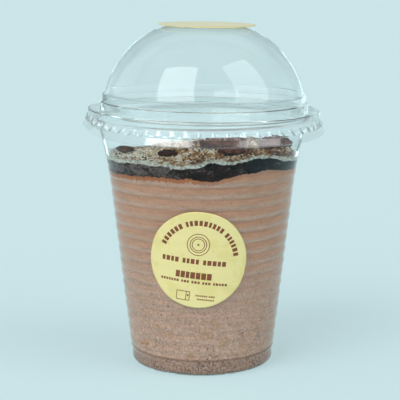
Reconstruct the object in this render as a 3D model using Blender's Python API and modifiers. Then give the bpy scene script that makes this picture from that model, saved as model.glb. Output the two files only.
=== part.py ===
"""Chocolate mousse in a ribbed clear cup with a domed lid, for Blender 4.5.

Metres, +Z up. The origin is the centre of the cup's flat base and -Y is the
side with the round label. Angles round the cup are in degrees from -Y
towards +X.
"""
import math

import bmesh
import bpy
from mathutils import Matrix, Vector

MM = 0.001
STEPS = 32                          # sides of every turned piece
GAP = 0.3 * MM                      # clearance between touching pieces
LAYER_GAP = 0.45 * MM               # wider, for layers whose facets cross
MERGE = 0.00001

# cup
SHEET = 0.7 * MM                    # wall of cup and lid
BASE_RADIUS = 26.6 * MM             # flat that the cup stands on
FOOT_RADIUS = 29.3 * MM
FOOT_HEIGHT = 5.6 * MM
HEEL_HEIGHT = 2.8 * MM
WALL_START = 11.6 * MM              # height where the wall has START_RADIUS
START_RADIUS = 30.35 * MM
WALL_SLOPE = 0.1165                 # radius gained per height
FLARE_START = 72 * MM               # the wall opens faster above this height
FLARE_RATE = 2.8                    # 1/m
RIB_COUNT = 16
RIB_PITCH = 4.67 * MM
RIB_DEPTH = 0.45 * MM
FIRST_RIB = 10.45 * MM             # crest of the lowest rib
RIM_HEIGHT = 102.6 * MM
LIP_RADIUS = 45.7 * MM
LIP_DROP = 3.2 * MM                 # length of the rim's turned-down edge

# dome lid
LID_SHIFT = 0.7 * MM                # the lid sits a little to the right
SKIRT_RADIUS = 49.5 * MM
SKIRT_HEIGHT = 95.9 * MM
FLANGE_RADIUS = 47.4 * MM
FLANGE_BOTTOM = 98.4 * MM
FLANGE_TOP = 105.5 * MM
GROOVE_HEIGHT = 103.8 * MM           # the flange's top slopes in to this groove
LOWER_BAND = 42.5 * MM
LOWER_BAND_TOP = 108.7 * MM
UPPER_BAND = 41.5 * MM
UPPER_BAND_TOP = 112.0 * MM
DOME_CENTRE = 103 * MM              # height of the widest level of the dome's oval
DOME_RADIUS = 41.45 * MM
DOME_RISE = 39.2 * MM
DOME_POWER = 2.08                   # 2 is an ellipse, more is squarer
DOME_TOP = 139.0 * MM
DOME_RINGS = 7

# labels
LABEL_RADIUS = 20 * MM
LABEL_SHEET = 0.3 * MM
LABEL_HEIGHT = 49.5 * MM            # centre of the side label
LABEL_ANGLE = -2.8
STICKER_SHIFT = 1.1 * MM            # from the lid's axis
STICKER_TILT = 0.9

# layers: level at the wall, then lobes of (angle, half width, height in mm)
MOUSSE_LEVEL = 82.3 * MM
MOUSSE_LOBES = [(-72, 26, -1.6), (0, 5, -0.8), (8, 6, -1.2), (40, 20, 1.8), (88, 16, -0.8),
                (150, 30, 1.2), (-150, 25, -0.8)]
CHOCOLATE_LEVEL = 86.5 * MM
CHOCOLATE_LOBES = [(-40, 8, 0.7), (-12, 6, -0.4), (6, 6, 2.0), (36, 17, 3.1), (-75, 16, -0.6),
                   (84, 18, -1.3), (140, 26, 1.4), (-135, 30, -1.8)]
CREAM_EDGE = 1.3 * MM               # cream showing above the chocolate at the wall
CREAM_LEVEL = 88.0 * MM
CREAM_RISE_X = 0.045                # the cream's top leans up to the right
CREAM_RISE_Y = -0.03
CHOCOLATE_CORE = 85.2 * MM          # levels at the middle, under the cream
MOUSSE_CORE = 82.4 * MM
CORE_RINGS = [0, 0.5, 0.85, 1]      # shares of the radius where a layer has vertices
CREAM_RINGS = [0, 0.2, 0.4, 0.6, 0.75, 0.88, 1]

# brownie pieces: name, centre x and y, half sizes x, y and z, turn, all in mm and degrees
BROWNIES = [
    ("brownie_centre", 10.0, 3.0, 8.6, 6.4, 5.0, 8),
    ("brownie_front", 12.0, -13.0, 5.4, 4.8, 1.3, -8),
    ("brownie_chip", -13.6, -11.5, 3.9, 3.6, 1.4, 5),
    ("brownie_right", 30.0, 8.0, 5.4, 6.6, 3.2, 20),
    ("brownie_left", -32.2, 10.5, 3.6, 4.8, 1.8, -24),
]

COLOURS = {
    "clear_plastic": ((0.86, 0.95, 0.96), 0.08),
    "mousse": ((0.37, 0.24, 0.17), 0.6),
    "chocolate": ((0.035, 0.026, 0.024), 0.35),
    "cream": ((0.42, 0.38, 0.30), 0.55),
    "brownie": ((0.075, 0.035, 0.025), 0.7),
    "label": ((0.80, 0.74, 0.36), 0.5),
}


def clear_scene():
    for obj in list(bpy.data.objects):
        bpy.data.objects.remove(obj, do_unlink=True)


def new_material(name, kind):
    colour, roughness = COLOURS[kind]
    material = bpy.data.materials.new(name)
    material.use_nodes = True
    shader = material.node_tree.nodes["Principled BSDF"]
    shader.inputs["Base Color"].default_value = (*colour, 1)
    shader.inputs["Roughness"].default_value = roughness
    shader.inputs["Metallic"].default_value = 0
    if kind == "clear_plastic":
        shader.inputs["Alpha"].default_value = 0.35
    return material


def add_object(name, mesh, kind, parent=None):
    obj = bpy.data.objects.new(name, mesh)
    mesh.materials.clear()
    mesh.materials.append(new_material(name, kind))
    PARTS.objects.link(obj)
    obj.parent = parent
    return obj


def shade_round(mesh, angle=35):
    mesh.shade_smooth()
    mesh.set_sharp_from_angle(angle=math.radians(angle))


def turned_mesh(name, profile):
    """The mesh of a profile of (radius, height) points, turned round Z."""
    line = bpy.data.meshes.new(name)
    points = [(radius, 0, height) for radius, height in profile]
    line.from_pydata(points, [(i, i + 1) for i in range(len(points) - 1)], [])
    obj = bpy.data.objects.new(name, line)
    bpy.context.scene.collection.objects.link(obj)
    screw = obj.modifiers.new("turn", "SCREW")
    screw.steps = screw.render_steps = STEPS
    screw.use_merge_vertices = True
    screw.merge_threshold = MERGE
    graph = bpy.context.evaluated_depsgraph_get()
    mesh = bpy.data.meshes.new_from_object(obj.evaluated_get(graph))
    bpy.data.objects.remove(obj, do_unlink=True)
    bpy.data.meshes.remove(line)
    mesh.name = name
    return mesh


def thicken(obj, sheet, offset):
    solidify = obj.modifiers.new("sheet", "SOLIDIFY")
    solidify.thickness = sheet
    solidify.offset = offset
    solidify.use_even_offset = True
    return solidify


def wall_radius(z):
    """Outer radius of the cup's wall, halfway between the ribs' crests and valleys."""
    flare = max(z - FLARE_START, 0)
    return START_RADIUS + WALL_SLOPE * (z - WALL_START) + FLARE_RATE * flare ** 2


def inner_radius(z):
    """Radius that the food may fill, clear of the ribs and the foot."""
    side = wall_radius(z) - RIB_DEPTH / 2 - SHEET - GAP
    foot = FOOT_RADIUS - SHEET - GAP
    heel = max(1 - z / HEEL_HEIGHT, 0)
    foot -= (FOOT_RADIUS - BASE_RADIUS) * heel ** 2
    return min(side, foot) if z < FOOT_HEIGHT + 1 * MM else side


def cup_profile():
    lip_inside = LIP_RADIUS - SHEET
    curl_height = RIM_HEIGHT - SHEET - 1 * MM
    curl = (lip_inside - wall_radius(curl_height)) / 2
    centre = lip_inside - curl
    profile = [(lip_inside, RIM_HEIGHT - LIP_DROP)]
    for step in range(5):
        turn = math.pi * step / 4
        profile.append((centre + curl * math.cos(turn), curl_height + curl * math.sin(turn)))
    profile.append((wall_radius(93 * MM), 93 * MM))
    for rib in reversed(range(RIB_COUNT)):
        crest = FIRST_RIB + rib * RIB_PITCH
        valley = crest + RIB_PITCH / 2
        profile.append((wall_radius(valley) - RIB_DEPTH / 2, valley))
        profile.append((wall_radius(crest) + RIB_DEPTH / 2, crest))
    valley = FIRST_RIB - RIB_PITCH / 2
    profile.append((wall_radius(valley) - RIB_DEPTH / 2, valley))
    profile.append((FOOT_RADIUS, FOOT_HEIGHT))
    for step in range(4):
        turn = math.pi / 2 * step / 3
        profile.append((BASE_RADIUS + (FOOT_RADIUS - BASE_RADIUS) * math.cos(turn),
                        HEEL_HEIGHT * (1 - math.sin(turn))))
    profile.append((0, 0))
    return profile


def dome_radius(z):
    level = (z - DOME_CENTRE) / DOME_RISE
    return DOME_RADIUS * (1 - level ** DOME_POWER) ** (1 / DOME_POWER)


def lid_profile():
    profile = [(0, DOME_TOP)]
    start = math.asin((DOME_TOP - DOME_CENTRE) / DOME_RISE)
    end = math.asin((UPPER_BAND_TOP - DOME_CENTRE) / DOME_RISE)
    for ring in range(DOME_RINGS):
        lift = start + (end - start) * ring / (DOME_RINGS - 1)
        z = DOME_CENTRE + DOME_RISE * math.sin(lift)
        profile.append((dome_radius(z), z))
    step = 0.4 * MM
    profile += [
        (UPPER_BAND, UPPER_BAND_TOP - step),
        (UPPER_BAND, LOWER_BAND_TOP + step),
        (LOWER_BAND, LOWER_BAND_TOP),
        (LOWER_BAND, GROOVE_HEIGHT + step),
        (LOWER_BAND + step, GROOVE_HEIGHT),
        (LOWER_BAND + 3 * step, GROOVE_HEIGHT + step),
        (FLANGE_RADIUS - 3 * step, FLANGE_TOP),
        (FLANGE_RADIUS, FLANGE_TOP - 2 * step),
        (FLANGE_RADIUS, FLANGE_BOTTOM),
        (SKIRT_RADIUS, SKIRT_HEIGHT),
    ]
    return profile


def make_cup():
    mesh = turned_mesh("cup", cup_profile())
    shade_round(mesh)
    thicken(add_object("cup", mesh, "clear_plastic"), SHEET, -1)


def make_lid():
    seat = bpy.data.objects.new("lid_seat", None)
    seat.location = (LID_SHIFT, 0, 0)
    PARTS.objects.link(seat)
    mesh = turned_mesh("dome_lid", lid_profile())
    shade_round(mesh)
    thicken(add_object("dome_lid", mesh, "clear_plastic", seat), SHEET, -1)

    lift = GAP + LABEL_RADIUS * math.sin(math.radians(STICKER_TILT))
    mesh = turned_mesh("lid_sticker", [(0, 0), (LABEL_RADIUS / 2, 0), (LABEL_RADIUS, 0)])
    sticker = add_object("lid_sticker", mesh, "label", seat)
    sticker.location = (STICKER_SHIFT, 0, DOME_TOP + lift)
    sticker.rotation_euler = (0, math.radians(STICKER_TILT), 0)
    thicken(sticker, LABEL_SHEET, 1)


def wrap_on_wall(mesh, height, angle):
    """Bends a flat disc that lies in XY round the cup's ribs, with its outside outwards."""
    draft = math.atan(WALL_SLOPE)
    for vertex in mesh.vertices:
        across, up, _ = vertex.co
        z = height + up * math.cos(draft)
        radius = wall_radius(z) + RIB_DEPTH / 2 + GAP
        turn = math.radians(angle) + across / radius
        vertex.co = (radius * math.sin(turn), -radius * math.cos(turn), z)


def make_side_label():
    rings = 3
    profile = [(LABEL_RADIUS * ring / rings, 0) for ring in range(rings + 1)]
    mesh = turned_mesh("side_label", profile)
    wrap_on_wall(mesh, LABEL_HEIGHT, LABEL_ANGLE)
    shade_round(mesh)
    thicken(add_object("side_label", mesh, "label"), LABEL_SHEET, 1)


def wall_edge(level, lobes, angle):
    """Height of a layer's edge at the wall, at an angle round the cup in degrees."""
    z = level
    for centre, width, height in lobes:
        away = (angle - centre + 180) % 360 - 180
        z += height * MM * math.exp(-(away / width) ** 2)
    return z


def mousse_top(share, angle):
    """share is 0 at the middle and 1 at the wall."""
    edge = wall_edge(MOUSSE_LEVEL, MOUSSE_LOBES, angle)
    return MOUSSE_CORE + (edge - MOUSSE_CORE) * share ** 4


def chocolate_top(share, angle):
    edge = wall_edge(CHOCOLATE_LEVEL, CHOCOLATE_LOBES, angle)
    return CHOCOLATE_CORE + (edge - CHOCOLATE_CORE) * share ** 4


def cream_surface(x, y):
    """Height of the cream's uneven top away from the wall."""
    ripple = 0.5 * MM * math.sin(x / (5.1 * MM) + 0.6) * math.cos(y / (6.3 * MM))
    ripple += 0.4 * MM * math.sin((x + 1.7 * y) / (9.4 * MM) + 1.9)
    return CREAM_LEVEL + CREAM_RISE_X * x + CREAM_RISE_Y * y + ripple


def cream_top(share, angle):
    radius = share * inner_radius(CREAM_LEVEL)
    turn = math.radians(angle)
    middle = cream_surface(radius * math.sin(turn), -radius * math.cos(turn))
    edge = wall_edge(CHOCOLATE_LEVEL, CHOCOLATE_LOBES, angle) + CREAM_EDGE
    return middle + (edge - middle) * share ** 6


def make_layer(name, kind, bottom, top, walls, rings=CORE_RINGS):
    """A round slab between two height functions, out to the cup's wall."""
    profile = [(share, 1) for share in rings]
    profile += [(1, 1 - wall / walls) for wall in range(1, walls)]
    profile += [(share, 0) for share in reversed(CORE_RINGS)]
    mesh = turned_mesh(name, profile)
    for vertex in mesh.vertices:
        across, along, part = vertex.co
        share = min(math.hypot(across, along), 1)
        angle = math.degrees(math.atan2(across, -along))
        low = bottom(share, angle)
        z = low + (top(share, angle) - low) * part
        radius = share * inner_radius(z)
        turn = math.radians(angle)
        vertex.co = (radius * math.sin(turn), -radius * math.cos(turn), z)
    shade_round(mesh, 50)
    return add_object(name, mesh, kind)


def make_layers():
    floor = SHEET + GAP
    make_layer("mousse", "mousse", lambda share, angle: floor, mousse_top, 6)
    make_layer("chocolate_layer", "chocolate",
               lambda share, angle: mousse_top(share, angle) + LAYER_GAP, chocolate_top, 2)
    make_layer("cream_layer", "cream",
               lambda share, angle: chocolate_top(share, angle) + LAYER_GAP, cream_top, 1, CREAM_RINGS)


def resting_height(x, y):
    """Highest point of the faceted cream near (x, y), with the gap that keeps pieces apart."""
    angle = math.degrees(math.atan2(x, -y))
    share = min(math.hypot(x, y) / inner_radius(CREAM_LEVEL), 1)
    return cream_top(share, angle) + 0.9 * MM


def make_brownie(name, x, y, half_x, half_y, half_z, turn):
    """A rough lump whose underside follows the cream."""
    mesh = bpy.data.meshes.new(name)
    bm = bmesh.new()
    bmesh.ops.create_icosphere(bm, subdivisions=2, radius=1)
    place = Matrix.Translation((x * MM, y * MM, resting_height(x * MM, y * MM)))
    place @= Matrix.Rotation(math.radians(turn), 4, "Z")
    for vertex in bm.verts:
        co = vertex.co
        rough = 1 + 0.1 * math.sin(5 * co.x + 3 * co.y + x) + 0.08 * math.sin(6 * co.z + 4 * co.y + y)
        square = max(abs(co.x), abs(co.y), abs(co.z)) ** -0.35 * rough
        shaped = Vector((co.x * half_x, co.y * half_y, co.z * half_z)) * square * MM
        vertex.co = place @ shaped
        vertex.co.z = max(vertex.co.z, resting_height(vertex.co.x, vertex.co.y))
    bmesh.ops.recalc_face_normals(bm, faces=bm.faces)
    bm.to_mesh(mesh)
    bm.free()
    add_object(name, mesh, "brownie")


def build():
    make_cup()
    make_layers()
    for brownie in BROWNIES:
        make_brownie(*brownie)
    make_side_label()
    make_lid()


clear_scene()
PARTS = bpy.data.collections.new("chocolate_mousse")
bpy.context.scene.collection.children.link(PARTS)
build()
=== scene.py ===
import math
import random

import bmesh
import bpy
import numpy as np
from mathutils import Matrix, Vector, noise


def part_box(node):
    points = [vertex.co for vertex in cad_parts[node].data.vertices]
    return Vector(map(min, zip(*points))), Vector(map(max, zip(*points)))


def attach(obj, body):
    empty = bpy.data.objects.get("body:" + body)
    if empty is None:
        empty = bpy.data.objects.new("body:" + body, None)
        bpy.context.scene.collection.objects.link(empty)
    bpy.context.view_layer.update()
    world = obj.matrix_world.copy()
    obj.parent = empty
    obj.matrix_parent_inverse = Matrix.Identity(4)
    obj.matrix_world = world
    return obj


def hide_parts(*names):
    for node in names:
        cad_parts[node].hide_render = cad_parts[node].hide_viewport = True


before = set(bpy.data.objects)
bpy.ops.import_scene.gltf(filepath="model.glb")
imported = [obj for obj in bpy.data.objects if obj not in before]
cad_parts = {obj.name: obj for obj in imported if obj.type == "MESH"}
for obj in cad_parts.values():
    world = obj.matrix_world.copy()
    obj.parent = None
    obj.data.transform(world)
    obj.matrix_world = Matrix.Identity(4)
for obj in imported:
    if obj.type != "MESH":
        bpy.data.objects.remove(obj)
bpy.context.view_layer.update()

mm = 0.001
nodeBoxes = {name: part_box(name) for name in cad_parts}


def boxSize(name, axis):
    low, high = nodeBoxes[name]
    return high[axis] - low[axis]


def boxMiddle(name, axis):
    low, high = nodeBoxes[name]
    return (low[axis] + high[axis]) / 2


def newMaterial(name, **values):
    material = bpy.data.materials.new(name)
    material.use_nodes = True
    shader = material.node_tree.nodes["Principled BSDF"]
    for key, value in values.items():
        socket = shader.inputs[key.replace("_", " ")]
        socket.default_value = (*value, 1) if isinstance(value, tuple) else value
    return material, material.node_tree, shader


def addNode(tree, kind, **values):
    node = tree.nodes.new(kind)
    for key, value in values.items():
        if hasattr(node, key):
            setattr(node, key, value)
        else:
            node.inputs[key.replace("_", " ")].default_value = value
    return node


def objectPlace(tree, scale):
    place = addNode(tree, "ShaderNodeTexCoord")
    mapping = addNode(tree, "ShaderNodeMapping")
    mapping.inputs["Scale"].default_value = scale
    tree.links.new(place.outputs["Object"], mapping.inputs["Vector"])
    return mapping.outputs["Vector"]


def noiseNode(tree, vector, scale, detail=4, roughness=0.6, distortion=0):
    node = addNode(tree, "ShaderNodeTexNoise", Scale=scale, Detail=detail, Roughness=roughness,
                   Distortion=distortion)
    tree.links.new(vector, node.inputs["Vector"])
    return node.outputs["Fac"]


def ramp(tree, factor, stops):
    node = addNode(tree, "ShaderNodeValToRGB")
    band = node.color_ramp
    while len(band.elements) < len(stops):
        band.elements.new(0.5)
    for element, (position, value) in zip(band.elements, stops):
        element.position = position
        element.color = (*value, 1) if isinstance(value, tuple) else (value, value, value, 1)
    tree.links.new(factor, node.inputs["Fac"])
    return node.outputs["Color"]


def mixColours(tree, factor, first, second, blend="MIX"):
    node = addNode(tree, "ShaderNodeMix", data_type="RGBA", blend_type=blend)
    sockets = [s for s in node.inputs if s.type == "RGBA"]
    for socket, value in ((node.inputs[0], factor), (sockets[0], first), (sockets[1], second)):
        if isinstance(value, bpy.types.NodeSocket):
            tree.links.new(value, socket)
        elif isinstance(value, tuple):
            socket.default_value = (*value, 1)
        else:
            socket.default_value = value
    return [s for s in node.outputs if s.type == "RGBA"][0]


def calculate(tree, operation, *values, clamp=False):
    node = addNode(tree, "ShaderNodeMath", operation=operation, use_clamp=clamp)
    for socket, value in zip(node.inputs, values):
        if isinstance(value, bpy.types.NodeSocket):
            tree.links.new(value, socket)
        else:
            socket.default_value = value
    return node.outputs[0]


def along(tree, direction, x, y, z):
    node = addNode(tree, "ShaderNodeVectorMath", operation="DOT_PRODUCT")
    tree.links.new(direction, node.inputs[0])
    node.inputs[1].default_value = (x, y, z)
    return node.outputs["Value"]


def softStep(tree, value, start, end):
    node = addNode(tree, "ShaderNodeMapRange", interpolation_type="SMOOTHSTEP")
    tree.links.new(value, node.inputs["Value"])
    node.inputs["From Min"].default_value = start
    node.inputs["From Max"].default_value = end
    return node.outputs["Result"]


def vertexValue(tree, name):
    node = addNode(tree, "ShaderNodeAttribute")
    node.attribute_name = name
    return node.outputs["Fac"]


def bumpFrom(tree, shader, height, strength, distance, sockets=("Normal",)):
    node = addNode(tree, "ShaderNodeBump", Strength=strength, Distance=distance)
    tree.links.new(height, node.inputs["Height"])
    for socket in sockets:
        tree.links.new(node.outputs["Normal"], shader.inputs[socket])


def linkPiece(name, mesh, material):
    piece = bpy.data.objects.new(name, mesh)
    bpy.context.scene.collection.objects.link(piece)
    mesh.materials.clear()
    mesh.materials.append(material)
    return piece


def ringMesh(name, points, startPole=None, endPole=None):
    rows, steps = points.shape[:2]                    # points: rows of rings, each ring closed
    vertices = [tuple(p) for p in points.reshape(-1, 3)]
    faces = []
    for row in range(rows - 1):
        a, b = row * steps, (row + 1) * steps
        faces += [(a + i, b + i, b + (i + 1) % steps, a + (i + 1) % steps) for i in range(steps)]
    if startPole is not None:
        vertices.append(startPole)
        pole = len(vertices) - 1
        faces += [(pole, i, (i + 1) % steps) for i in range(steps)]
    if endPole is not None:
        vertices.append(endPole)
        pole, last = len(vertices) - 1, (rows - 1) * steps
        faces += [(pole, last + (i + 1) % steps, last + i) for i in range(steps)]
    mesh = bpy.data.meshes.new(name)
    mesh.from_pydata(vertices, [], faces)
    mesh.shade_smooth()
    return mesh


def storeValue(mesh, name, values):
    layer = mesh.attributes.new(name, "FLOAT", "POINT")
    layer.data.foreach_set("value", np.asarray(values, dtype=np.float32))


def addSheet(piece, thickness, offset=-1):
    solidify = piece.modifiers.new("sheet", "SOLIDIFY")
    solidify.thickness = thickness
    solidify.offset = offset


def ringAngles(steps):
    return np.arange(steps) * 2 * math.pi / steps     # from -Y towards +X


def placeOnRing(radius, angle, z):
    return np.stack([radius * np.sin(angle), -radius * np.cos(angle), z + 0 * radius], axis=-1)


plastic = {
    "tint": (0.975, 0.99, 0.99),
    "ior": 1.04,
    "cupCoat": 1.25,
    "lidCoat": 1.36,
    "skirtCoat": 1.72,
    "milk": (0.90, 0.96, 0.97),
    "haze": (0.0, 0.035),
    "waviness": 0.12,
}


def plasticMaterial(name, coatIor, coatRoughness=0.02):
    material, tree, shader = newMaterial(name, Base_Color=plastic["tint"], IOR=plastic["ior"],
                                         Transmission_Weight=1.0, Coat_Weight=1.0,
                                         Coat_IOR=coatIor, Coat_Roughness=coatRoughness)
    place = objectPlace(tree, (1, 1, 0.6))
    low, high = plastic["haze"]
    smudge = noiseNode(tree, place, 60, 3)
    tree.links.new(ramp(tree, smudge, [(0.45, low), (0.8, high)]), shader.inputs["Roughness"])
    bumpFrom(tree, shader, noiseNode(tree, place, 45, 1), plastic["waviness"], 0.3 * mm,
             ("Normal", "Coat Normal"))
    return material


def milkyPlastic():
    return newMaterial("milkyRim", Base_Color=plastic["milk"], Roughness=0.35, IOR=plastic["ior"],
                       Specular_IOR_Level=0.2, Transmission_Weight=0.72)[0]


cup = {
    "steps": 192,
    "sheet": 0.8 * mm,
    "wallSheet": 1.25 * mm,
    "baseRadius": 26.6 * mm,
    "footRadius": 29.3 * mm,
    "footHeight": 5.6 * mm,
    "heelHeight": 2.8 * mm,
    "wallStart": 11.6 * mm,
    "startRadius": 30.35 * mm,
    "slope": 0.1165,
    "flareStart": 72 * mm,
    "flareRate": 2.8,
    "grooves": 17,
    "firstGroove": 8.12 * mm,
    "ribPitch": 4.67 * mm,
    "ribDepth": 0.25 * mm,
    "insideRibDepth": 0.42 * mm,
    "rimHeight": nodeBoxes["cup"][1][2],
    "lipRadius": boxSize("cup", 0) / 2,
    "lipDrop": 3.2 * mm,
}
ribsTop = cup["firstGroove"] + (cup["grooves"] - 1) * cup["ribPitch"]


def wallLine(z):
    flare = np.maximum(z - cup["flareStart"], 0)
    return cup["startRadius"] + cup["slope"] * (z - cup["wallStart"]) + cup["flareRate"] * flare ** 2


def ribbedWall(z, depth):
    phase = (z - cup["firstGroove"]) / cup["ribPitch"]
    bulge = np.abs(np.sin(math.pi * phase)) ** 0.7 - 0.6
    inside = (z > cup["firstGroove"] - 0.3 * mm) & (z < ribsTop + 0.3 * mm)
    return wallLine(z) + np.where(inside, depth * bulge, 0)


def cupRadius(z, depth):
    foot = cup["footRadius"] - (cup["footRadius"] - cup["baseRadius"]) * (
        1 - np.sqrt(1 - np.clip(1 - z / cup["heelHeight"], 0, 1) ** 2))
    blend = np.clip((z - cup["footHeight"]) / (1.2 * mm), 0, 1)
    return foot * (1 - blend) + ribbedWall(z, depth) * blend


def cupProfile():
    lipInside = cup["lipRadius"] - cup["sheet"]
    curlHeight = cup["rimHeight"] - cup["sheet"] - 1 * mm
    curl = (lipInside - wallLine(curlHeight)) / 2
    rows = [(lipInside, cup["rimHeight"] - cup["lipDrop"])]
    for turn in np.linspace(0, math.pi, 9):
        rows.append((lipInside - curl + curl * math.cos(turn), curlHeight + curl * math.sin(turn)))
    for z in np.linspace(99 * mm, ribsTop + 0.4 * mm, 8):
        rows.append((float(wallLine(z)), z))
    for z in np.linspace(ribsTop, cup["firstGroove"], (cup["grooves"] - 1) * 10 + 1):
        rows.append((float(ribbedWall(z, cup["ribDepth"])), z))
    for z in np.linspace(cup["firstGroove"] - 0.5 * mm, cup["heelHeight"], 12):
        rows.append((float(cupRadius(z, cup["ribDepth"])), z))
    for turn in np.linspace(0, math.pi / 2, 8)[1:]:
        rows.append((cup["baseRadius"] + (cup["footRadius"] - cup["baseRadius"]) * math.cos(turn),
                     cup["heelHeight"] * (1 - math.sin(turn))))
    rows.append((cup["baseRadius"] * 0.9, 0))
    return rows


def buildCup():
    rows = np.array(cupProfile())
    angles = ringAngles(cup["steps"])
    points = placeOnRing(rows[:, :1] + 0 * angles, angles, rows[:, 1:])
    mesh = ringMesh("cupShell", points, endPole=(0, 0, 0))
    piece = linkPiece("cupShell", mesh, plasticMaterial("cupPlastic", plastic["cupCoat"]))
    mesh.materials.append(milkyPlastic())
    curlFoot = cup["rimHeight"] - cup["sheet"] - 1.2 * mm
    for face in mesh.polygons:
        face.material_index = int(face.center.z > curlFoot)
    addSheet(piece, cup["wallSheet"])
    thick = piece.vertex_groups.new(name="thick")     # the rim is thinner than the wall
    thin = cup["sheet"] / cup["wallSheet"]
    for vertex in mesh.vertices:
        share = min(max((96 * mm - vertex.co.z) / (6 * mm), 0), 1)
        thick.add([vertex.index], thin + (1 - thin) * share, "REPLACE")
    piece.modifiers["sheet"].vertex_group = "thick"
    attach(piece, "root")
    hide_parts("cup")
    print("cup shell made")


lid = {
    "steps": 1152,
    "sheet": 0.3 * mm,
    "tilt": 0.8,
    "axisX": boxMiddle("dome_lid", 0),
    "skirtRadius": boxSize("dome_lid", 1) / 2,
    "skirtHeight": 95.9 * mm,
    "flangeRadius": 47.4 * mm,
    "flangeTop": 105.5 * mm,
    "grooveHeight": 103.8 * mm,
    "lowerBand": (42.5 * mm, 104.3 * mm, 108.4 * mm),
    "upperBand": (41.5 * mm, 108.9 * mm, 111.6 * mm),
    "bandRibs": 288,
    "bandRibDepth": 0.3 * mm,
    "domeCentre": 103 * mm,
    "domeRadius": 41.45 * mm,
    "domeRise": 39.2 * mm,
    "domePower": 2.08,
    "domeTop": 139 * mm,
    "lugs": 54,
    "lugTurn": -1.6,
    "lugDepth": 1.3 * mm,
    "ledge": 0.75 * mm,
    "lugBottom": 99.2 * mm,
    "lugTop": 101.7 * mm,
    "lugShare": (0.66, 0.3),
    "lifts": [(-84, 26, 3.3 * mm, 0.5), (86, 24, 1.5 * mm, 0.8)],
}


def domeRadius(z):
    level = (z - lid["domeCentre"]) / lid["domeRise"]
    return lid["domeRadius"] * (1 - level ** lid["domePower"]) ** (1 / lid["domePower"])


def bandRows(band):
    radius, low, high = band
    close = 0.12 * mm                                 # rows close to both edges keep them crisp
    heights = [high, high - close, (low + high) / 2, low + close, low]
    return [(radius, z, share, 0.0) for z, share in zip(heights, (0.4, 1.0, 1.0, 1.0, 0.4))]


def lidProfile():
    rows = []                                         # radius, height, rib share, lug share
    top = math.asin((lid["domeTop"] - lid["domeCentre"]) / lid["domeRise"])
    foot = math.asin((112.4 * mm - lid["domeCentre"]) / lid["domeRise"])
    crown = domeRadius(lid["domeTop"])
    rows += [(crown * 0.5, lid["domeTop"], 0, 0), (crown * 0.93, lid["domeTop"], 0, 0)]
    for lift in np.linspace(top, foot, 12)[1:]:
        z = lid["domeCentre"] + lid["domeRise"] * math.sin(lift)
        rows.append((domeRadius(z), z, 0, 0))
    bandRadius, bandLow, bandHigh = lid["upperBand"]
    rows += [(bandRadius - 0.85 * mm, bandHigh + 0.45 * mm, 0, 0),
             (bandRadius - 0.35 * mm, bandHigh + 0.3 * mm, 0, 0),
             (bandRadius - 0.1 * mm, bandHigh + 0.15 * mm, 0, 0)]
    rows += bandRows((bandRadius, bandLow, bandHigh))
    rows += bandRows(lid["lowerBand"])
    grooveRadius = lid["lowerBand"][0]
    groove, flange, edge = lid["grooveHeight"], lid["flangeTop"], lid["flangeRadius"]
    rows += [(grooveRadius + 0.12 * mm, groove + 0.15 * mm, 0, 0),
             (grooveRadius + 0.45 * mm, groove - 0.05 * mm, 0, 0),
             (grooveRadius + 0.9 * mm, groove + 0.05 * mm, 0, 0),
             (grooveRadius + 1.6 * mm, groove + 0.45 * mm, 0, 0),
             (edge - 2.1 * mm, flange - 0.5 * mm, 0, 0),
             (edge - 1.3 * mm, flange - 0.12 * mm, 0, 0),
             (edge - 0.75 * mm, flange, 0, 0),
             (edge - 0.3 * mm, flange - 0.12 * mm, 0, 0),
             (edge - 0.07 * mm, flange - 0.4 * mm, 0, 0),
             (edge, flange - 0.9 * mm, 0, 0),
             (edge, flange - 1.1 * mm, 0, 0),
             (edge, (flange + lid["lugTop"]) / 2, 0, 0),
             (edge, lid["lugTop"] + 0.15 * mm, 0, 0),
             (edge, lid["lugTop"], 0, 0)]
    for share in (0.03, 0.35, 0.7, 1.0):
        z = lid["lugTop"] + (lid["lugBottom"] - lid["lugTop"]) * share
        rows.append((edge, z, 0, share))
    ledge = edge + lid["ledge"]
    rows.append((ledge - 0.15 * mm, lid["lugBottom"] - 0.2 * mm, 0, 0.1))
    skirtTop = lid["lugBottom"] - 0.35 * mm
    for share in (0, 0.06, 0.3, 0.6, 0.85, 1):
        radius = ledge + (lid["skirtRadius"] - ledge - 0.1 * mm) * (0.9 * share + 0.1 * share ** 2)
        rows.append((radius, skirtTop + (lid["skirtHeight"] + 0.5 * mm - skirtTop) * share, 0, 0))
    rows.append((lid["skirtRadius"], lid["skirtHeight"] + 0.2 * mm, 0, 0))
    rows.append((lid["skirtRadius"] - 0.1 * mm, lid["skirtHeight"], 0, 0))
    return np.array(rows, dtype=float)


def lugPattern(angles, share):
    phase = ((angles - math.radians(lid["lugTurn"])) * lid["lugs"] / (2 * math.pi) + 0.5) % 1
    wide, narrow = lid["lugShare"]
    half = (narrow + (wide - narrow) * share) / 2
    return np.clip((half - np.abs(phase - 0.5)) / 0.07, 0, 1)


def lidRings():
    angles = ringAngles(lid["steps"])
    ribs = np.abs(((angles * lid["bandRibs"] / (2 * math.pi)) % 1) - 0.5) * 2
    rings = []
    for radius, z, ribShare, lugShare in lidProfile():
        ring = radius - lid["bandRibDepth"] * ribs * ribShare
        if lugShare > 0:
            ring = ring + lid["lugDepth"] * lugShare * lugPattern(angles, lugShare)
        drop = np.clip((lid["flangeTop"] - z) / (lid["flangeTop"] - lid["skirtHeight"]), 0, 1)
        height = z + 0 * angles
        for centre, width, lift, bend in lid["lifts"]:
            away = (np.degrees(angles) - centre + 180) % 360 - 180
            height = height + lift * drop ** bend * np.exp(-(away / width) ** 2)
        rings.append(placeOnRing(ring, angles, height))
    return np.array(rings)


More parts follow.
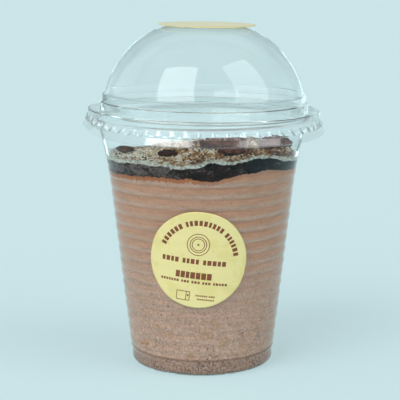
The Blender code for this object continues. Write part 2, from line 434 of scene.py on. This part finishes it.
def tiltLid(point):
    turn = math.radians(lid["tilt"])                  # the lid sits a little lower on its right
    x, y, z = point[..., 0], point[..., 1], point[..., 2] - lid["grooveHeight"]
    return np.stack([lid["axisX"] + x * math.cos(turn) + z * math.sin(turn), y,
                     lid["grooveHeight"] + z * math.cos(turn) - x * math.sin(turn)], axis=-1)


def buildLid():
    pole = tuple(tiltLid(np.array([0, 0, lid["domeTop"]])))
    rings = lidRings()
    mesh = ringMesh("lidShell", tiltLid(rings), startPole=pole)
    piece = linkPiece("lidShell", mesh, plasticMaterial("lidPlastic", plastic["lidCoat"]))
    mesh.materials.append(plasticMaterial("skirtPlastic", plastic["skirtCoat"], 0.12))
    low = int((lidProfile()[:, 1] > lid["lugTop"] + 0.1 * mm).sum()) * lid["steps"]
    for face in mesh.polygons:                        # the lugs and the skirt shine more
        face.material_index = int(low <= min(face.vertices) < len(mesh.vertices) - 1)
    addSheet(piece, lid["sheet"])
    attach(piece, "root")
    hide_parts("dome_lid")
    print("lid made")


layers = {
    "steps": 540,
    "wallRows": 150,
    "inFromWall": 1.12 * mm,
    "seam": 0.02 * mm,
    "mousseLevel": 82.3 * mm,
    "mousseLobes": [(-72, 26, -1.6), (0, 5, -0.8), (8, 6, -1.2), (40, 20, 1.8), (88, 16, -0.8),
                    (150, 30, 1.2), (-150, 25, -0.8)],
    "chocolateLevel": 86.5 * mm,
    "chocolateLobes": [(-40, 8, 0.7), (-12, 6, -0.4), (6, 6, 2.0), (36, 17, 3.1), (-75, 16, -0.6),
                       (84, 18, -1.3), (140, 26, 1.4), (-135, 30, -1.8)],
    "creamEdge": 1.3 * mm,
    "creamLevel": 88.0 * mm,
    "creamRise": (0.045, -0.03),
    "chocolateCore": 85.2 * mm,
    "mousseCore": 82.4 * mm,
    "lumpSize": 2.0 * mm,
    "lumpHeight": 1.3 * mm,
}


def foodRadius(z):
    return cupRadius(z, cup["insideRibDepth"]) - layers["inFromWall"]


def wallEdge(level, lobes, degrees):
    z = level + 0 * degrees
    for centre, width, height in lobes:
        away = (degrees - centre + 180) % 360 - 180
        z = z + height * mm * np.exp(-(away / width) ** 2)
    return z


def roughness(degrees, size, seed, depth):
    turn = np.radians(degrees)
    values = [noise.noise(Vector((math.cos(t) * size, math.sin(t) * size, seed))) for t in turn]
    return depth * np.array(values)


def mousseTop(share, degrees):
    edge = wallEdge(layers["mousseLevel"], layers["mousseLobes"], degrees)
    edge = edge + roughness(degrees, 8, 1.7, 0.5 * mm) + roughness(degrees, 30, 4.1, 0.5 * mm)
    edge = edge + roughness(degrees, 75, 5.6, 0.45 * mm)
    return layers["mousseCore"] + (edge - layers["mousseCore"]) * share ** 4


def chocolateTop(share, degrees):
    edge = wallEdge(layers["chocolateLevel"], layers["chocolateLobes"], degrees)
    edge = edge + roughness(degrees, 8, 7.3, 0.6 * mm) + roughness(degrees, 26, 9.9, 0.45 * mm)
    edge = edge + roughness(degrees, 70, 8.2, 0.35 * mm)
    return layers["chocolateCore"] + (edge - layers["chocolateCore"]) * share ** 4


def creamSurface(x, y):
    ripple = 0.5 * mm * np.sin(x / (5.1 * mm) + 0.6) * np.cos(y / (6.3 * mm))
    ripple = ripple + 0.4 * mm * np.sin((x + 1.7 * y) / (9.4 * mm) + 1.9)
    riseX, riseY = layers["creamRise"]
    return layers["creamLevel"] + riseX * x + riseY * y + ripple


def fineLumps(x, y):
    size = layers["lumpSize"]
    values = [noise.turbulence(Vector((a / size, b / size, 0.5)), 4, False) for a, b in zip(x, y)]
    return layers["lumpHeight"] * (np.array(values) - 0.55)


def creamTop(share, degrees):
    radius = share * foodRadius(layers["creamLevel"])
    turn = np.radians(degrees)
    x, y = radius * np.sin(turn), -radius * np.cos(turn)
    middle = creamSurface(x, y) + fineLumps(x, y)
    edge = wallEdge(layers["chocolateLevel"], layers["chocolateLobes"], degrees) + layers["creamEdge"]
    edge = edge + roughness(degrees, 10, 3.3, 0.6 * mm) + roughness(degrees, 34, 6.2, 0.6 * mm)
    return middle + (edge - middle) * share ** 12


def layerRings(bottom, top, topShares, wallParts, bottomShares):
    angles = ringAngles(layers["steps"])
    degrees = np.degrees((angles + math.pi) % (2 * math.pi) - math.pi)
    rings, below = [], []
    rows = [(share, 1.0) for share in topShares] + [(1.0, part) for part in wallParts]
    rows += [(share, 0.0) for share in bottomShares]
    lowWall, highWall = bottom(1.0, degrees), top(1.0, degrees)
    for share, part in rows:
        if 0 < part < 1:
            z = lowWall + (highWall - lowWall) * part
        else:
            z = top(share, degrees) if part == 1 else bottom(share, degrees)
        rings.append(placeOnRing(share * foodRadius(z), angles, z))
        below.append((highWall - z) / mm)
    return np.array(rings), np.array(below)


def makeLayer(name, node, material, bottom, top, topShares, wallParts, bottomShares):
    rings, below = layerRings(bottom, top, topShares, wallParts, bottomShares)
    start = (0, 0, float(rings[0, :, 2].mean()))
    end = (0, 0, float(rings[-1, :, 2].mean()))
    mesh = ringMesh(name, rings, startPole=start, endPole=end)
    storeValue(mesh, "belowEdge", np.append(below.reshape(-1), [9, 9]))
    shares = np.hypot(rings[..., 0], rings[..., 1]) / foodRadius(rings[..., 2])
    storeValue(mesh, "wallShare", np.append(shares.reshape(-1), [0, 0]))
    piece = linkPiece(name, mesh, material)
    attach(piece, "root")
    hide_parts(node)
    print(name, "made")
    return piece


mousse = {
    # orange, middle, pale and groove colour the painted rib bands: groove is painted shade, pale is a painted
    # highlight
    "orange": (0.47, 0.24, 0.146),
    "middle": (0.461, 0.268, 0.183),
    "pale": (0.49, 0.372, 0.31),
    "groove": (0.37, 0.205, 0.136),
    "fleck": (0.09, 0.045, 0.03),
    "ochre": (0.42, 0.20, 0.06),
    "fringe": (0.34, 0.12, 0.05),
    "low": (0.485, 0.312, 0.238),
    "lump": (0.62, 0.50, 0.44),
    "foot": (0.10, 0.07, 0.065),
}


def mousseMaterial():
    material, tree, shader = newMaterial("mousseFoam", Roughness=0.6, Specular_IOR_Level=0.1)
    place = objectPlace(tree, (1, 1, 1))
    height = along(tree, place, 0, 0, 1)
    wobble = noiseNode(tree, place, 45, 2)
    # painted shade and highlight: colour bands follow the wall ribs, darker under each groove and pale grey-pink
    # below it
    phase = calculate(tree, "SUBTRACT", height, cup["firstGroove"] + 5 * cup["ribPitch"])
    phase = calculate(tree, "DIVIDE", phase, cup["ribPitch"])
    phase = calculate(tree, "ADD", phase, calculate(tree, "MULTIPLY", wobble, 0.25))
    phase = calculate(tree, "FRACT", calculate(tree, "SUBTRACT", phase, 0.125))
    ribShadingBands = ramp(tree, phase, [(0.0, mousse["groove"]), (0.10, mousse["middle"]), (0.24, mousse["pale"]),
                               (0.5, mousse["middle"]), (0.72, mousse["orange"]), (0.9, mousse["orange"]),
                               (0.97, mousse["groove"])])
    even = ramp(tree, noiseNode(tree, place, 30, 2), [(0.38, 0.1), (0.62, 0.6)])
    colour = mixColours(tree, even, ribShadingBands, mousse["middle"])
    fade = softStep(tree, height, 0.06, 0.03)          # the painted rib shading and highlight bands fade out towards the bottom
    colour = mixColours(tree, calculate(tree, "MULTIPLY", fade, 0.8), colour, mousse["low"])
    streaks = noiseNode(tree, objectPlace(tree, (1, 1, 7)), 140, 4, 0.65)
    streaks = ramp(tree, streaks, [(0.34, 0.86), (0.5, 1.0), (0.64, 1.09)])
    colour = mixColours(tree, 1.0, colour, streaks, "MULTIPLY")
    grain = noiseNode(tree, place, 1150, 3, 0.75)
    shades = ramp(tree, grain, [(0.3, 0.6), (0.5, 1.0), (0.68, 1.24)])
    low = softStep(tree, height, 0.062, 0.003)         # more bits settle towards the bottom
    amount = calculate(tree, "ADD", calculate(tree, "MULTIPLY", low, 0.6), 0.3)
    colour = mixColours(tree, amount, colour, shades, "MULTIPLY")
    foot = softStep(tree, height, 7.0 * mm, 4.8 * mm)
    patchy = ramp(tree, noiseNode(tree, place, 130, 3), [(0.4, 0.25), (0.62, 1.0)])
    specks = calculate(tree, "MULTIPLY", calculate(tree, "MULTIPLY", low, patchy), 0.105)
    specks = calculate(tree, "ADD", specks, calculate(tree, "MULTIPLY", foot, 0.06))
    specks = calculate(tree, "ADD", specks, noiseNode(tree, place, 1250, 2, 0.7))
    colour = mixColours(tree, ramp(tree, specks, [(0.65, 0.0), (0.74, 0.85)]), colour, mousse["fleck"])
    lightSpecks = ramp(tree, noiseNode(tree, place, 900, 2, 0.6), [(0.58, 0.0), (0.68, 0.6)])
    colour = mixColours(tree, calculate(tree, "MULTIPLY", lightSpecks, low), colour, mousse["lump"])
    warm = ramp(tree, noiseNode(tree, place, 380, 3), [(0.58, 0.0), (0.66, 1.0)])
    warm = calculate(tree, "MULTIPLY", warm, calculate(tree, "MULTIPLY", low, 0.6))
    colour = mixColours(tree, warm, colour, mousse["ochre"])
    colour = mixColours(tree, calculate(tree, "MULTIPLY", foot, 0.33), colour, mousse["foot"])
    # painted shade: a dark line along the crease where the cup's wall meets its foot
    creaseShade = calculate(tree, "SUBTRACT", height, cup["footHeight"] + 0.9 * mm)
    creaseShade = softStep(tree, calculate(tree, "ABSOLUTE", creaseShade), 0.9 * mm, 0.2 * mm)
    colour = mixColours(tree, calculate(tree, "MULTIPLY", creaseShade, 0.45), colour, mousse["fleck"])
    fringe = calculate(tree, "ADD", vertexValue(tree, "belowEdge"), calculate(tree, "MULTIPLY", specks, -2.6))
    left = softStep(tree, along(tree, place, 1, 0, 0), 0.02, -0.015)
    fringe = ramp(tree, fringe, [(0.0, 0.95), (0.5, 0.0)])
    fringe = calculate(tree, "MULTIPLY", fringe, calculate(tree, "ADD", calculate(tree, "MULTIPLY", left, 0.7), 0.3))
    colour = mixColours(tree, fringe, colour, mousse["fringe"])
    tree.links.new(colour, shader.inputs["Base Color"])
    bumpFrom(tree, shader, grain, 0.3, 0.2 * mm)
    return material


chocolate = {
    "dark": (0.004, 0.002, 0.002),
    "brown": (0.022, 0.011, 0.009),
    "smear": (0.16, 0.125, 0.115),
    "paintedBlueReflection": (0.006, 0.011, 0.013),
}


def chocolateMaterial():
    material, tree, shader = newMaterial("darkChocolate", Roughness=0.45, Specular_IOR_Level=0.1)
    place = objectPlace(tree, (1, 1, 1.6))
    side = along(tree, objectPlace(tree, (1, 1, 1)), 1, 0, 0)
    colour = ramp(tree, noiseNode(tree, place, 180, 4), [(0.4, chocolate["dark"]), (0.7, chocolate["brown"])])
    # painted reflection: a bluish tint over the right part of the band
    colour = mixColours(tree, softStep(tree, side, 0.012, 0.024), colour, chocolate["paintedBlueReflection"])
    smear = noiseNode(tree, place, 330, 4, 0.75, 0.6)
    smear = calculate(tree, "ADD", smear, calculate(tree, "MULTIPLY", softStep(tree, side, 0.002, -0.016), 0.13))
    colour = mixColours(tree, ramp(tree, smear, [(0.56, 0.0), (0.70, 0.75)]), colour, chocolate["smear"])
    tree.links.new(colour, shader.inputs["Base Color"])
    bumpFrom(tree, shader, noiseNode(tree, place, 700, 3), 0.3, 0.2 * mm)
    return material


cream = {
    "pale": (0.60, 0.59, 0.49),
    "tan": (0.36, 0.25, 0.13),
    "ochre": (0.30, 0.15, 0.04),
    "brown": (0.05, 0.02, 0.012),
    "rim": (0.56, 0.57, 0.50),
    "rimShade": (0.24, 0.22, 0.18),
}


def creamMaterial():
    material, tree, shader = newMaterial("marbledCream", Roughness=0.55, Specular_IOR_Level=0.12)
    place = objectPlace(tree, (1, 0.6, 1))
    side = along(tree, objectPlace(tree, (1, 1, 1)), 1, 0, 0)
    swirl = calculate(tree, "SUBTRACT", noiseNode(tree, place, 470, 5, 0.8, 0.8),
                      calculate(tree, "MULTIPLY", side, 2.3))    # browner towards the right
    broad = calculate(tree, "SUBTRACT", noiseNode(tree, place, 95, 3), 0.5)
    swirl = calculate(tree, "ADD", swirl, calculate(tree, "MULTIPLY", broad, 0.45))
    colour = ramp(tree, swirl, [(0.42, cream["brown"]), (0.47, cream["ochre"]), (0.52, cream["tan"]),
                                (0.57, cream["pale"])])
    dots = ramp(tree, noiseNode(tree, place, 1050, 2, 0.7), [(0.56, 0.0), (0.62, 0.9)])
    colour = mixColours(tree, dots, colour, cream["brown"])
    share = calculate(tree, "ADD", vertexValue(tree, "wallShare"),
                      calculate(tree, "MULTIPLY", noiseNode(tree, place, 260, 3), 0.09))
    rim = softStep(tree, share, 1.015, 1.03)
    fine = ramp(tree, noiseNode(tree, objectPlace(tree, (1, 1, 1)), 800, 3, 0.7),
                [(0.4, cream["rimShade"]), (0.54, cream["rim"])])
    colour = mixColours(tree, rim, colour, fine)
    tree.links.new(colour, shader.inputs["Base Color"])
    bumpFrom(tree, shader, noiseNode(tree, place, 900, 4), 0.5, 0.3 * mm)
    return material


def buildLayers():
    floorHeight = cup["sheet"] / 2
    seam = layers["seam"]
    coreShares = [1 - s for s in np.linspace(0, 1, 7)[1:-1] ** 1.5]
    inward = coreShares
    outward = coreShares[::-1]
    parts = list(np.linspace(1, 0, layers["wallRows"] + 1)[1:-1])
    makeLayer("mousseBody", "mousse", mousseMaterial(),
              lambda share, degrees: floorHeight + 0 * degrees, mousseTop, outward + [1.0], parts,
              [1.0] + inward)
    makeLayer("chocolateBand", "chocolate_layer", chocolateMaterial(),
              lambda share, degrees: mousseTop(share, degrees) + seam, chocolateTop, outward + [1.0],
              list(np.linspace(1, 0, 13)[1:-1]), [1.0] + inward)
    creamShares = list(np.linspace(0, 1, 90)[1:])
    makeLayer("creamTopping", "cream_layer", creamMaterial(),
              lambda share, degrees: chocolateTop(share, degrees) + seam, creamTop, creamShares,
              [0.75, 0.5, 0.25], [1.0] + inward)


brownie = {
    "crumbly": ((0.02, 0.007, 0.0045), (0.2, 0.075, 0.052)),
    "glossy": ((0.006, 0.002, 0.0015), (0.05, 0.014, 0.009)),
    "roughness": 0.8,
    "move": {"brownie_left": (-0.5 * mm, 3.2 * mm, -1.5 * mm), "brownie_front": (0, 0, -0.2 * mm),
             "brownie_centre": (-1.2 * mm, 0, 0)},
    "grow": {"brownie_centre": (1.12, 1.0, 1.08), "brownie_left": (1.1, 1.2, 1.0), "brownie_right": (1.2, 1.0, 1.1)},
    "lean": {"brownie_centre": 0.22},
}


def brownieMaterial(name, dark, crumb):
    material, tree, shader = newMaterial(name, Roughness=brownie["roughness"],
                                         Specular_IOR_Level=0.04)
    place = objectPlace(tree, (1, 1, 1))
    colour = ramp(tree, noiseNode(tree, place, 420, 5, 0.7), [(0.35, dark), (0.65, crumb)])
    tree.links.new(colour, shader.inputs["Base Color"])
    bumpFrom(tree, shader, noiseNode(tree, place, 1100, 5, 0.7), 0.7, 0.4 * mm)
    return material


def roughLump(name, centre, halves, seed, lean, subdivisions=5):
    bm = bmesh.new()
    bmesh.ops.create_icosphere(bm, subdivisions=subdivisions, radius=1)
    for vertex in bm.verts:
        co = vertex.co.copy()
        square = max(abs(co.x), abs(co.y), abs(co.z)) ** -0.12
        coarse = noise.noise(co * 1.6 + Vector((seed, 0, 0))) * 0.22
        fine = noise.turbulence(co * 5 + Vector((0, seed, 0)), 4, True) * 0.14 - 0.07
        co *= square * (0.93 + coarse + fine)
        co.z *= 1 + lean * co.x
        vertex.co = Vector(centre) + Vector((co.x * halves[0], co.y * halves[1], co.z * halves[2]))
    mesh = bpy.data.meshes.new(name)
    bm.to_mesh(mesh)
    bm.free()
    mesh.shade_smooth()
    return mesh


def buildBrownies():
    crumbly = brownieMaterial("brownieCrumbly", *brownie["crumbly"])
    glossy = brownieMaterial("brownieGlossy", *brownie["glossy"])
    names = [name for name in sorted(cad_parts) if name.startswith("brownie_")]
    for seed, name in enumerate(names):
        low, high = (Vector(corner) for corner in nodeBoxes[name])
        centre = (low + high) / 2
        halves = (high - low) / 2
        centre.z = low.z + halves.z * 0.55
        halves.z = (high.z - centre.z) * 0.98
        centre += Vector(brownie["move"].get(name, (0, 0, 0)))
        halves *= Vector(brownie["grow"].get(name, (1, 1, 1)))
        pieceName = "brownie" + name.split("_")[1].capitalize()
        piece = linkPiece(pieceName, roughLump(pieceName, centre, halves, 3.7 * seed, brownie["lean"].get(name, 0)),
                          glossy if name == "brownie_chip" else crumbly)
        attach(piece, "root")
        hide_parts(name)
    print("brownie pieces made")


crumbs = {
    "cocoaCrumbs": {"count": 420, "size": (0.35, 1.0), "colour": (0.06, 0.018, 0.009), "seed": 11},
    "caramelBits": {"count": 380, "size": (0.3, 0.75), "colour": (0.42, 0.20, 0.035), "seed": 23},
    "creamFlecks": {"count": 260, "size": (0.3, 0.75), "colour": (0.62, 0.60, 0.50), "seed": 37},
}


def crumbMaterial(name, colour):
    material, tree, shader = newMaterial(name, Roughness=0.7, Specular_IOR_Level=0.1)
    place = objectPlace(tree, (1, 1, 1))
    darker = tuple(c * 0.55 for c in colour)
    tree.links.new(ramp(tree, noiseNode(tree, place, 900, 3), [(0.35, darker), (0.65, colour)]),
                   shader.inputs["Base Color"])
    bumpFrom(tree, shader, noiseNode(tree, place, 1800, 2), 0.4, 0.1 * mm)
    return material


def buildCrumbs(name, values):
    draw = random.Random(values["seed"])
    bm = bmesh.new()
    reach = foodRadius(layers["creamLevel"]) * 0.93
    for index in range(values["count"]):
        share, degrees = math.sqrt(draw.random()), draw.uniform(-180, 180)
        radius = reach * share
        x, y = radius * math.sin(math.radians(degrees)), -radius * math.cos(math.radians(degrees))
        z = float(creamTop(np.array([share * 0.93]), np.array([degrees]))[0])
        size = draw.uniform(*values["size"]) * mm / 2
        turn = Matrix.Rotation(draw.uniform(0, 6.28), 4, Vector((draw.random(), draw.random(), 1)).normalized())
        stretch = Matrix.Diagonal((size * draw.uniform(0.8, 1.6), size * draw.uniform(0.7, 1.2), size, 1))
        place = Matrix.Translation((x, y, z + size * 0.2)) @ turn @ stretch
        made = bmesh.ops.create_icosphere(bm, subdivisions=2, radius=1, matrix=place)
        for vertex in made["verts"]:
            vertex.co += noise.noise_vector(vertex.co * 2400) * size * 0.35
    mesh = bpy.data.meshes.new(name)
    bm.to_mesh(mesh)
    bm.free()
    piece = linkPiece(name, mesh, crumbMaterial(name + "Finish", values["colour"]))
    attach(piece, "root")
    print(name, "made")


label = {
    "radius": 20 * mm,
    "height": boxMiddle("side_label", 2),
    "angle": -2.8,
    "sheet": 0.12 * mm,
    "lift": 0.05 * mm,
    "turn": -6.5,
    "yellow": (0.84, 0.71, 0.32),
    "shade": (0.80, 0.67, 0.27),
    "ink": (0.25, 0.068, 0.02),
}


def labelMaterial(name, gloss, specular):
    material, tree, shader = newMaterial(name, Roughness=gloss, Specular_IOR_Level=specular)
    place = objectPlace(tree, (1, 1, 1))
    stain = ramp(tree, noiseNode(tree, place, 110, 3), [(0.42, label["shade"]), (0.5, label["yellow"])])
    grain = ramp(tree, noiseNode(tree, place, 2600, 2), [(0.3, 0.93), (0.7, 1.0)])
    tree.links.new(mixColours(tree, 1.0, stain, grain, "MULTIPLY"), shader.inputs["Base Color"])
    bumpFrom(tree, shader, noiseNode(tree, place, 1500, 2), 0.15, 0.05 * mm)
    return material


def wrapPoint(across, up, lift):
    turn = math.radians(label["turn"])
    u = across * math.cos(turn) - up * math.sin(turn)
    v = across * math.sin(turn) + up * math.cos(turn)
    z = label["height"] + v * math.cos(math.atan(cup["slope"]))
    crest = float(wallLine(z)) + cup["ribDepth"] * 0.4
    sunk = float(ribbedWall(z, cup["ribDepth"])) - crest
    radius = crest + sunk * 0.35 + label["lift"] + lift
    angle = math.radians(label["angle"]) + u / crest
    return (radius * math.sin(angle), -radius * math.cos(angle), z)


def buildSideLabel():
    rows, steps = 40, 120
    rings = np.zeros((rows, steps, 3))
    for row in range(rows):
        for step in range(steps):
            angle = 2 * math.pi * step / steps
            radius = label["radius"] * (row + 1) / rows
            radius *= 1 - 0.006 * math.cos(4 * angle + 0.4) ** 2
            rings[row, step] = wrapPoint(radius * math.cos(angle), radius * math.sin(angle), 0)
    mesh = ringMesh("sideLabel", rings, startPole=wrapPoint(0, 0, 0))
    piece = linkPiece("sideLabel", mesh, labelMaterial("labelPaper", 0.5, 0.5))
    addSheet(piece, label["sheet"], 1)
    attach(piece, "root")
    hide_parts("side_label")
    print("side label made")


def printBlock(bm, centre, size, turn=0.0):
    halfU, halfV = size[0] * mm / 2, size[1] * mm / 2
    turn = math.radians(turn)
    columns = max(2, math.ceil(size[0] / 0.8) + 1)
    rows = max(2, math.ceil(size[1] / 0.8) + 1)
    grid = []
    for lift in (label["sheet"] - 0.02 * mm, label["sheet"] + 0.03 * mm):
        sheet = []
        for row in range(rows):
            line = []
            for column in range(columns):
                a = halfU * (2 * column / (columns - 1) - 1)
                b = halfV * (2 * row / (rows - 1) - 1)
                u = centre[0] * mm + a * math.cos(turn) - b * math.sin(turn)
                v = centre[1] * mm + a * math.sin(turn) + b * math.cos(turn)
                line.append(bm.verts.new(wrapPoint(u, v, lift)))
            sheet.append(line)
        grid.append(sheet)
    low, high = grid
    for row in range(rows - 1):
        for column in range(columns - 1):
            quad = [(row, column), (row, column + 1), (row + 1, column + 1), (row + 1, column)]
            bm.faces.new([high[r][c] for r, c in quad])
            bm.faces.new([low[r][c] for r, c in reversed(quad)])
    border = [(0, c) for c in range(columns)] + [(r, columns - 1) for r in range(1, rows)]
    border += [(rows - 1, c) for c in range(columns - 2, -1, -1)] + [(r, 0) for r in range(rows - 2, 0, -1)]
    for here, there in zip(border, border[1:] + border[:1]):
        bm.faces.new([low[here[0]][here[1]], low[there[0]][there[1]],
                      high[there[0]][there[1]], high[here[0]][here[1]]])


def printRing(bm, centre, radius, width, start=0, end=360):
    count = max(6, int((end - start) / 12))
    closed = end - start >= 360
    sections = []
    for step in range(count if closed else count + 1):
        angle = math.radians(start + (end - start) * step / count)
        corners = []
        for r, lift in ((radius, 0.03), (radius + width, 0.03), (radius + width, -0.02), (radius, -0.02)):
            u, v = centre[0] + r * math.cos(angle), centre[1] + r * math.sin(angle)
            corners.append(bm.verts.new(wrapPoint(u * mm, v * mm, label["sheet"] + lift * mm)))
        sections.append(corners)
    pairs = list(zip(sections, sections[1:] + sections[:1])) if closed else list(zip(sections, sections[1:]))
    for here, there in pairs:
        for side in range(4):
            after = (side + 1) % 4
            bm.faces.new([here[side], here[after], there[after], there[side]])
    if not closed:
        bm.faces.new(sections[0][::-1])
        bm.faces.new(sections[-1])


def printRow(bm, start, up, groups, width, gap, height, draw):
    x = start
    for count in groups:
        for index in range(count):
            wide = width * draw.uniform(0.75, 1.1)
            printBlock(bm, (x + wide / 2, up), (wide, height))
            x += wide + gap
        x += width * 0.8


def buildPrint():
    bm = bmesh.new()
    draw = random.Random(5)
    angle = 161                                       # arc of short bars along the top
    for count in (6, 9, 6):
        for index in range(count):
            width = draw.uniform(1.0, 1.4)
            turn = math.radians(angle - math.degrees(width / 2 / 15.3))
            printBlock(bm, (15.3 * math.cos(turn), 15.3 * math.sin(turn)), (width, 2.1), math.degrees(turn) - 90)
            angle -= math.degrees((width + 0.6) / 15.3)
        angle -= 4
    printRing(bm, (-0.5, 6.4), 4.25, 0.3)             # plain rings in the middle
    printRing(bm, (-0.5, 6.4), 3.1, 0.3)
    printRing(bm, (-0.5, 6.4), 2.3, 0.3)
    printRing(bm, (-0.5, 6.4), 0.15, 0.3)
    printRow(bm, -14.4, -0.7, (4, 4, 5), 1.45, 0.5, 2.0, draw)
    printRow(bm, -8.2, -6.5, (7,), 1.75, 0.35, 2.7, draw)
    printRow(bm, -14.2, -9.3, (7, 3, 3, 3, 5), 0.9, 0.35, 1.0, draw)
    for centre, size in (((-4.4, -13.5), (5.4, 0.28)), ((-4.4, -17.1), (5.4, 0.28)),
                         ((-7.0, -15.3), (0.28, 3.4)), ((-1.8, -15.3), (0.28, 3.4)),
                         ((-3.2, -15.3), (0.28, 3.4)), ((-2.5, -15.0), (0.7, 0.8))):
        printBlock(bm, centre, size)                  # small framed square
    printRow(bm, 0.6, -14.7, (6, 3), 0.6, 0.3, 0.7, draw)
    printRow(bm, 1.4, -16.2, (8,), 0.6, 0.3, 0.6, draw)
    bmesh.ops.recalc_face_normals(bm, faces=bm.faces)
    mesh = bpy.data.meshes.new("labelPrint")
    bm.to_mesh(mesh)
    bm.free()
    material, tree, shader = newMaterial("labelInk", Roughness=0.5)
    place = objectPlace(tree, (1, 1, 1))
    darker = tuple(c * 0.7 for c in label["ink"])
    tree.links.new(ramp(tree, noiseNode(tree, place, 1400, 2), [(0.3, darker), (0.7, label["ink"])]),
                   shader.inputs["Base Color"])
    piece = linkPiece("labelPrint", mesh, material)
    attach(piece, "root")
    print("label print made")


sticker = {
    "radius": 20 * mm,
    "tilt": 0.9,
    "sheet": 0.15 * mm,
    "droop": 0.25 * mm,
}


def buildLidSticker():
    low, high = nodeBoxes["lid_sticker"]
    centre = Vector(((low[0] + high[0]) / 2, (low[1] + high[1]) / 2, (low[2] + high[2]) / 2))
    rows, steps = 16, 120
    rings = np.zeros((rows, steps, 3))
    for row in range(rows):
        for step in range(steps):
            angle = 2 * math.pi * step / steps
            radius = sticker["radius"] * (row + 1) / rows
            x, y = radius * math.cos(angle), radius * math.sin(angle)
            z = -x * math.tan(math.radians(sticker["tilt"]))
            z -= sticker["droop"] * max(radius / sticker["radius"] - 0.85, 0) / 0.15 * max(-math.sin(angle), 0)
            rings[row, step] = (centre.x + x, centre.y + y, centre.z + z)
    mesh = ringMesh("lidSticker", rings, startPole=tuple(centre))
    piece = linkPiece("lidSticker", mesh, labelMaterial("stickerPaper", 0.2, 0.9))
    addSheet(piece, sticker["sheet"], 0)
    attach(piece, "root")
    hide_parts("lid_sticker")
    print("lid sticker made")


stage = {
    "floorColour": (0.27, 0.347, 0.358),
    "floorGlow": (0.322, 0.425, 0.442),
    "lens": 130.86,
    "cameraPlace": (-0.9 * mm, -593.06 * mm, 173.01 * mm),
    "cameraPitch": 10.1,
    "skyLow": (0.60, 0.79, 0.815),
    "skyHigh": (0.17, 0.18, 0.185),
    "overhead": (0.62, 0.62, 0.62),
    "overheadEdge": (0.5, 1.0),
}

softBoxes = {                                         # each edge: where it starts and how it slants
    "leftBox": {"azimuth": -36, "left": (-0.29, -0.24), "right": (0.41, 0.0), "low": (0.34, 0.0),
                "high": (1.97, 0.6), "soft": 0.05, "light": 3.45},
    "rightBox": {"azimuth": 60.5, "left": (-0.32, -0.04), "right": (0.34, 0.17), "low": (0.29, 0.0),
                 "high": (1.93, -0.22), "soft": 0.05, "light": 1.95},
    "bar": {"azimuth": 28, "left": (-0.27, 0.0), "right": (0.28, 0.0), "low": (0.49, -0.1),
            "high": (0.66, -0.1), "soft": 0.03, "light": 1.9},
    "leftFill": {"azimuth": -84, "left": (-0.9, 0.0), "right": (0.9, 0.0), "low": (0.15, 0.0),
                 "high": (1.6, 0.0), "soft": 0.4, "light": 0.35},
}


def buildFloor():
    mesh = bpy.data.meshes.new("floor")
    bm = bmesh.new()
    bmesh.ops.create_circle(bm, cap_ends=True, segments=96, radius=14)
    bm.to_mesh(mesh)
    bm.free()
    material, tree, shader = newMaterial("paleFloor", Base_Color=stage["floorColour"], Roughness=0.9,
                                         Specular_IOR_Level=0.0, Emission_Color=stage["floorGlow"],
                                         Emission_Strength=1.0)
    floor = linkPiece("floor", mesh, material)


def softBox(tree, direction, values):
    turn = math.radians(values["azimuth"])
    ahead = along(tree, direction, math.sin(turn), -math.cos(turn), 0)
    ahead = calculate(tree, "MAXIMUM", ahead, 0.001)
    across = calculate(tree, "DIVIDE", along(tree, direction, math.cos(turn), math.sin(turn), 0), ahead)
    up = calculate(tree, "DIVIDE", along(tree, direction, 0, 0, 1), ahead)
    mask = values["light"]
    for side, place, beside, sign in (("left", across, up, 1), ("right", across, up, -1),
                                      ("low", up, across, 1), ("high", up, across, -1)):
        start, slant = values[side]
        edge = calculate(tree, "ADD", start, calculate(tree, "MULTIPLY", beside, slant))
        inside = calculate(tree, "MULTIPLY", calculate(tree, "SUBTRACT", place, edge), sign)
        mask = calculate(tree, "MULTIPLY", softStep(tree, inside, -values["soft"], 0), mask)
    return mask


def buildWorld():
    world = bpy.data.worlds.new("studio")
    bpy.context.scene.world = world
    world.use_nodes = True
    tree = world.node_tree
    direction = addNode(tree, "ShaderNodeTexCoord").outputs["Generated"]
    height = along(tree, direction, 0, 0, 1)
    sky = ramp(tree, height, [(0.0, stage["skyLow"]), (0.45, stage["skyHigh"])])
    low, high = stage["overheadEdge"]
    sky = mixColours(tree, softStep(tree, height, low, high), sky, stage["overhead"])
    for values in softBoxes.values():
        sky = mixColours(tree, 1.0, sky, softBox(tree, direction, values), "ADD")
    tree.links.new(sky, tree.nodes["Background"].inputs["Color"])


def buildCamera():
    data = bpy.data.cameras.new("camera")
    data.lens = stage["lens"]
    data.sensor_width = 36
    data.clip_start = 0.01
    camera = bpy.data.objects.new("camera", data)
    bpy.context.scene.collection.objects.link(camera)
    camera.location = stage["cameraPlace"]
    camera.rotation_euler = (math.radians(90 - stage["cameraPitch"]), 0, 0)
    bpy.context.scene.camera = camera


buildCup()
buildLid()
buildLayers()
buildBrownies()
for crumbName, crumbValues in crumbs.items():
    buildCrumbs(crumbName, crumbValues)
buildSideLabel()
buildPrint()
buildLidSticker()
buildFloor()
buildWorld()
buildCamera()
bpy.context.scene.view_settings.view_transform = "Standard"
